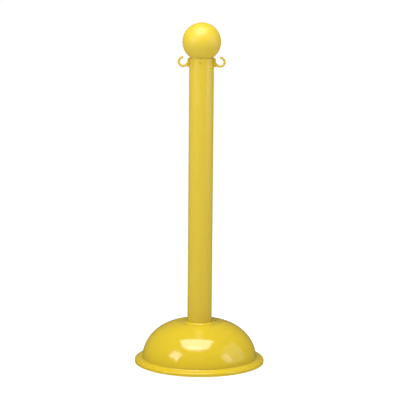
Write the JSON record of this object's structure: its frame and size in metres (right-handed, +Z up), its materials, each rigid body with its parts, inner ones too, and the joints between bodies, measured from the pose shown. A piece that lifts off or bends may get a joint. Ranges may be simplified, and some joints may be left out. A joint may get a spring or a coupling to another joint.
{
  "type": "plastic chain stanchion",
  "caption": "Free-standing yellow plastic post with a ball top, two open C-hooks for barrier chain and a weighted domed base with a flat brim.",
  "frame": {"origin": "centre of the base's underside, on the floor", "axes": "+Z up along the post; the two chain hooks lie on the X axis, the two blind spare holes on the Y axis"},
  "size_m": [0.4064, 0.4064, 1.064],
  "materials": {
    "post_yellow": "semi-gloss extruded polyethylene, solid yellow",
    "moulded_yellow": "semi-gloss moulded polyethylene, solid yellow",
    "hook_yellow": "injection-moulded polyethylene, deeper yellow",
    "seal_rubber": "matt black rubber",
    "screw_steel": "zinc-plated steel",
    "sand_fill": "packed damp sand"
  },
  "bodies": {
    "base": {"base_dome": "moulded_yellow", "bottom_plate": "moulded_yellow", "plate_seal": "seal_rubber", "plate_screw_1": "screw_steel", "plate_screw_2": "screw_steel", "plate_screw_3": "screw_steel", "plate_screw_4": "screw_steel", "plate_screw_5": "screw_steel", "plate_screw_6": "screw_steel", "ballast": "sand_fill"},
    "plug": {"fill_plug": "moulded_yellow", "plug_washer": "seal_rubber"},
    "post": {"post_tube": "post_yellow"},
    "ball": {"ball_top": "moulded_yellow"},
    "hook_right": {"chain_hook_right": "hook_yellow"},
    "hook_left": {"chain_hook_left": "hook_yellow"}
  },
  "joints": [
    {"name": "post_lift", "type": "slide", "parent": "base", "child": "post", "axis": [0, 0, 1], "range_m": [0, 0.13]},
    {"name": "ball_lift", "type": "slide", "parent": "post", "child": "ball", "axis": [0, 0, 1], "range_m": [0, 0.05]},
    {"name": "hook_right_pull", "type": "slide", "parent": "post", "child": "hook_right", "axis": [1, 0, 0], "range_m": [0, 0.02]},
    {"name": "hook_left_pull", "type": "slide", "parent": "post", "child": "hook_left", "axis": [-1, 0, 0], "range_m": [0, 0.02]},
    {"name": "plug_pull", "type": "slide", "parent": "base", "child": "plug", "axis": [0, 0, -1], "range_m": [0, 0.012]}
  ]
}
